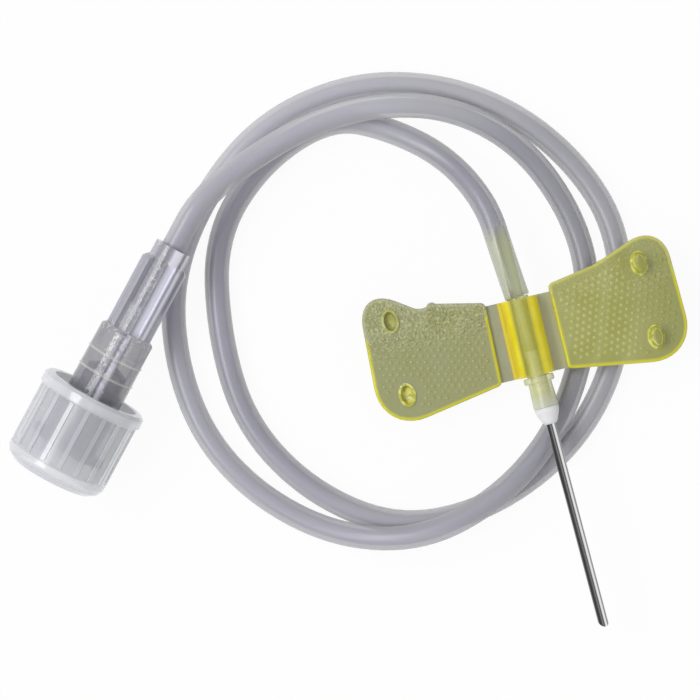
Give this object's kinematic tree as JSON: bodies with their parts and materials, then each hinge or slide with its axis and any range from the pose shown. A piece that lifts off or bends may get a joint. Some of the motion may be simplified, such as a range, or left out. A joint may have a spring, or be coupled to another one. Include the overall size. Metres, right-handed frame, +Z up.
{
  "type": "butterfly infusion set",
  "caption": "Winged infusion needle on a flexible folding-wing saddle, with coiled thin tubing, a finned female luer connector and a ribbed screw cap.",
  "frame": {"origin": "centre of the set's footprint without its tubing, on the table it lies on", "axes": "-Y the way the needle points, +X to the right along the wings, +Z up from the table"},
  "size_m": [0.0619, 0.0536, 0.0102],
  "materials": {
    "needle_steel": "bright drawn stainless steel",
    "white_plastic": "satin white moulding",
    "hub_plastic": "pale yellow-green translucent moulding",
    "wing_plastic": "fluorescent yellow translucent moulding, finely stippled",
    "tube_plastic": "milky flexible tubing",
    "clear_plastic": "clear glossy moulding",
    "cap_plastic": "milky translucent moulding"
  },
  "bodies": {
    "set_body": {"needle": "needle_steel", "needle_carrier": "white_plastic", "needle_hub": "hub_plastic", "wing_saddle": "wing_plastic", "tube": "tube_plastic", "luer_connector": "clear_plastic"},
    "left_wing": {"wing_left": "wing_plastic"},
    "right_wing": {"wing_right": "wing_plastic"},
    "screw_cap": {"luer_cap": "cap_plastic"}
  },
  "joints": [
    {"name": "wing_left_fold", "type": "hinge", "parent": "set_body", "child": "left_wing", "pos_m": [0.0139, 0.00517, 0.00373], "axis": [0.0279, 0.9996, 0], "range_deg": [-10, 98], "stiffness_Nm_per_rad": 0.003},
    {"name": "wing_right_fold", "type": "hinge", "parent": "set_body", "child": "right_wing", "pos_m": [0.0189, 0.00503, 0.00373], "axis": [-0.0279, -0.9996, 0], "range_deg": [0, 98], "stiffness_Nm_per_rad": 0.003},
    {"name": "cap_pull", "type": "slide", "parent": "set_body", "child": "screw_cap", "axis": [-0.6841, -0.726, -0.0698], "range_m": [0, 0.008]}
  ]
}
